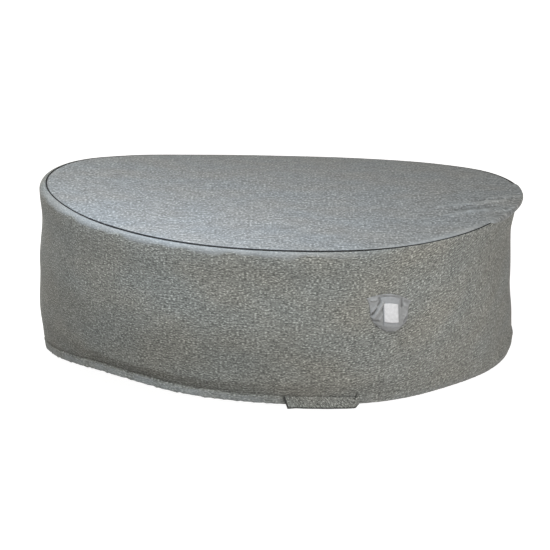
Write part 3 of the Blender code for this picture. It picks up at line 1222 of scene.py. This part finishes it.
@dataclass
class Vent:
    """The vent: a hood of plain cloth, its strap and the bare label."""

    form: CoverForm
    angle: float = -66.1
    top_depth: float = 0.212
    tilt: float = 0.17
    patch_thickness: float = 0.0015
    patch_clearance: float = 0.0012
    rounding: float = 2.4
    lip: float = 0.003
    fold_full: float = 0.017
    strap_rows: tuple[float, float] = (0.6, 5.0)
    strap_widths: tuple[float, ...] = (0.47, 0.45, 0.42, 0.41, 0.41, 0.47)
    label_rows: tuple[float, float] = (1.72, 4.15)
    label_half_width: float = 0.0350
    hood_flat: tuple[float, float] = (0.22, 0.20)
    hood_area: float = 0.033
    strap_flat: tuple[float, float] = (0.095, 0.15)
    strap_area: float = 0.0122
    label_flat: tuple[float, float] = (0.073, 0.096)
    # The hood's colour carries painted highlight and painted shade that follow its folds.
    grey: PlainCloth = PlainCloth(
        "Plain grey cloth of the hood", (0.252, 0.261, 0.266), painted_light_share=0.8
    )
    strap_grey: PlainCloth = PlainCloth("Plain grey cloth of the strap", (0.270, 0.284, 0.298))
    white: PlainCloth = PlainCloth("Bare white label", (0.56, 0.57, 0.59), 0.6, 0.0008)

    def row(self, place: Array, column: int) -> Array:
        """Return a column of the hood's rows at a place between them, in metres."""
        table = np.array([row[column] for row in HOOD_ROWS]) * MILLIMETRE
        return np.interp(place, np.arange(len(table)), table)

    def point(self, side: Array, down: Array, proud: Array) -> Array:
        """Return points over the vent: side along the cloth, down from its top, off the skirt."""
        form = self.form
        turn = math.radians(self.angle)
        reach = math.hypot(form.half_length * math.sin(turn), form.half_width * math.cos(turn))
        angle = self.angle + np.degrees(side / reach)
        middle = np.array([self.angle])
        top = form.piping(middle)[0, 2] - self.top_depth
        depth = form.piping(angle)[..., 2] - top + down + self.tilt * side
        return form.skirt(angle, depth, proud)

    def hood(self, across: Array, place: Array, layer: int = 0) -> Array:
        """Return points of the hood, or of a patch over it, without its wrinkles."""
        half_width = self.row(place, 1)
        down = self.row(place, 0) + self.row(place, 2) * self.drop_share(across)
        lift = self.row(place, 3) * (1.0 - np.abs(across) ** self.rounding)
        proud = lift + self.form.skirt_thickness + self.patch_clearance
        proud = proud + layer * (self.patch_thickness + self.patch_clearance)
        return self.point(half_width * across, down, proud)

    def hood_folds(self, across: Array, place: Array) -> Array:
        """Return how far the folds lift or sink the hood, with the bound lip of its top."""
        side = self.row(place, 1) * across
        depth = self.row(place, 0) + self.row(place, 2) * self.drop_share(across)
        total = self.lip * (bell((depth - 0.006) / 0.005) - bell((depth - 0.018) / 0.006))
        for fold in HOOD_FOLDS:
            *ends, half_width, height = np.array(fold) * MILLIMETRE
            total = total + height * straight_fold(side, depth, ends, half_width)
        return total * smooth_step((1.0 - np.abs(across)) / 0.08)

    def hood_face(self, share: Array, down: Array) -> Array:
        """Return points of the hood's outer face, with its folds."""
        across = 2.0 * share - 1.0
        place = down * (len(HOOD_ROWS) - 1)
        out = self.hood_folds(across, place)
        out = np.maximum(out, self.patch_clearance - self.row(place, 3) * 0.6)
        way = self.form.outward(np.full_like(across, self.angle))
        return self.hood(across, place) + way * out[..., None]

    def hood_painted_light(self, share: Array, down: Array) -> Array:
        """Return the hood's painted light: a painted highlight on its ridges and lip, painted shade
        in its troughs.
        """
        across = 2.0 * share - 1.0
        place = down * (len(HOOD_ROWS) - 1)
        # Painted highlight and painted shade follow the folds' heights.
        return np.clip(self.hood_folds(across, place) / self.fold_full, -1.0, 0.7)

    @staticmethod
    def drop_share(across: Array) -> Array:
        """Return how much of a row's drop its places have: a gable with a soft peak."""
        return np.abs(across) ** 1.35

    def strap_face(self, share: Array, down: Array) -> Array:
        """Return points of the strap's outer face."""
        top, bottom = self.strap_rows
        place = top + (bottom - top) * down
        width = np.interp(place, (top, 1.0, 2.0, 3.0, 4.0, bottom), self.strap_widths)
        return self.hood((2.0 * share - 1.0) * width, place, 1)

    def label_face(self, share: Array, down: Array) -> Array:
        """Return points of the label's outer face."""
        top, bottom = self.label_rows
        place = top + (bottom - top) * down
        width = self.label_half_width / self.row(place, 1)
        return self.hood((2.0 * share - 1.0) * width, place, 2)

    def patches(self) -> tuple[Patch, ...]:
        """Return the hood, the strap and the label."""
        thick = self.form.skirt_thickness
        thin = self.patch_thickness
        return (
            Patch("hood", self.hood_face, self.hood_painted_light, thick, self.grey, "hood_cloth",
                  self.hood_flat, {"area": self.hood_area}, 80, 64),
            Patch("strap", self.strap_face, None, thin, self.strap_grey, "strap_cloth",
                  self.strap_flat, {"area": self.strap_area}, 20, 36),
            Patch("label", self.label_face, None, thin, self.white, "label",
                  self.label_flat, {}, 14, 20),
        )

    def build(self, maker: SheetMaker, sewn_to: Object) -> None:
        """Build the hood, the strap and the label, each sewn to the one before."""
        under = sewn_to
        for patch in self.patches():
            piece = maker.grid(
                f"vent_{patch.name}_sheet",
                patch.columns,
                patch.rows,
                patch.face,
                patch.cloth,
                tone=patch.tone,
            )
            under = maker.finish(
                piece,
                patch.thickness,
                patch.finish,
                patch.slot,
                f"vent_{patch.name}",
                flat=patch.flat,
                held=Held.HUNG.value,
                rests_on=[under],
                **patch.area,
            )


class Lamp(NamedTuple):
    """A square soft light: its name, place, target, size, power and colour."""

    name: str
    place: Place
    target: Place
    size: float
    power: float
    colour: Colour


LAMPS = (
    Lamp("Key", (-1.0, -2.6, 2.8), (-0.3, -0.2, -0.1), 1.8, 96.0, (1.0, 1.0, 0.96)),
    Lamp("Back left", (-2.4, 1.6, 2.4), (0.0, 0.0, 0.0), 1.8, 27.0, (1.0, 0.97, 0.86)),
    Lamp("Near left", (-0.8, -1.3, 1.3), (-0.7, -0.6, 0.0), 1.0, 19.0, (0.88, 1.0, 1.2)),
    Lamp("Front right", (1.9, -2.4, -0.3), (0.7, -0.6, -0.5), 1.2, 33.0, (1.0, 0.98, 0.98)),
)


@dataclass
class Studio:
    """Pale floor, soft lights and the camera."""

    floor_height: float = -0.815
    floor_size: float = 80.0
    floor_glow: float = 0.96
    air_colour: Colour = (1.0, 0.94, 0.85)
    air_strength: float = 0.28
    camera_place: Place = (-0.004, -7.690, 2.208)
    camera_target: Place = (-0.044, 0.0, -0.448)
    lens: float = 103.2
    sensor: float = 36.0

    def build(self) -> None:
        """Add the floor, the world, the lights and the camera."""
        scene = bpy.context.scene
        scene.view_settings.view_transform = "Standard"
        self.floor()
        self.world(scene)
        for lamp in LAMPS:
            self.light(lamp)
        self.camera(scene)

    def floor(self) -> None:
        """Add the floor, bright enough to read as a white sweep."""
        deselect()
        place = (0.0, 0.0, self.floor_height)
        bpy.ops.mesh.primitive_plane_add(size=self.floor_size, location=place)
        floor = bpy.context.object
        floor.name = "studio_floor"
        floor.visible_diffuse = False
        n = Nodes("Pale floor")
        for key, value in (
            ("Base Color", (0.5, 0.5, 0.5, 1.0)),
            ("Roughness", 0.9),
            ("Emission Color", (1.0, 1.0, 1.0, 1.0)),
            ("Emission Strength", self.floor_glow),
        ):
            n.put(n.shader.inputs[key], value)
        floor.data.materials.append(n.material)

    def world(self, scene: bpy.types.Scene) -> None:
        """Add soft, even light from all round."""
        world = bpy.data.worlds.new("Studio air")
        world.use_nodes = True
        sky = world.node_tree.nodes["Background"]
        sky.inputs["Color"].default_value = (*self.air_colour, 1.0)
        sky.inputs["Strength"].default_value = self.air_strength
        scene.world = world

    @staticmethod
    def stand(item: Object, place: Place, target: Place) -> None:
        """Put a lamp or a camera at a place, facing a target."""
        item.location = place
        aim = Vector(target) - Vector(place)
        item.rotation_euler = aim.to_track_quat("-Z", "Y").to_euler()
        bpy.context.collection.objects.link(item)

    def light(self, lamp: Lamp) -> None:
        """Add a square soft light that faces its target."""
        data = bpy.data.lights.new(lamp.name, "AREA")
        data.shape = "SQUARE"
        data.size = lamp.size
        data.energy = lamp.power
        data.color = lamp.colour
        item = bpy.data.objects.new(lamp.name, data)
        item.visible_camera = False
        self.stand(item, lamp.place, lamp.target)

    def camera(self, scene: bpy.types.Scene) -> None:
        """Add the camera."""
        data = bpy.data.cameras.new("Camera")
        data.lens = self.lens
        data.sensor_width = self.sensor
        camera = bpy.data.objects.new("Camera", data)
        self.stand(camera, self.camera_place, self.camera_target)
        scene.camera = camera


def main() -> None:
    """Build the cover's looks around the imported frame."""
    logging.basicConfig(level=logging.INFO, format="%(message)s")
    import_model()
    form = CoverForm()
    maker = SheetMaker()
    Studio().build()
    TopPanel(form).build(maker)
    piping = Piping(form).build()
    skirt = Skirt(form).build(maker, piping)
    HemPocket(form).build(maker, skirt)
    Vent(form).build(maker, skirt)


if __name__ == "__main__":
    main()
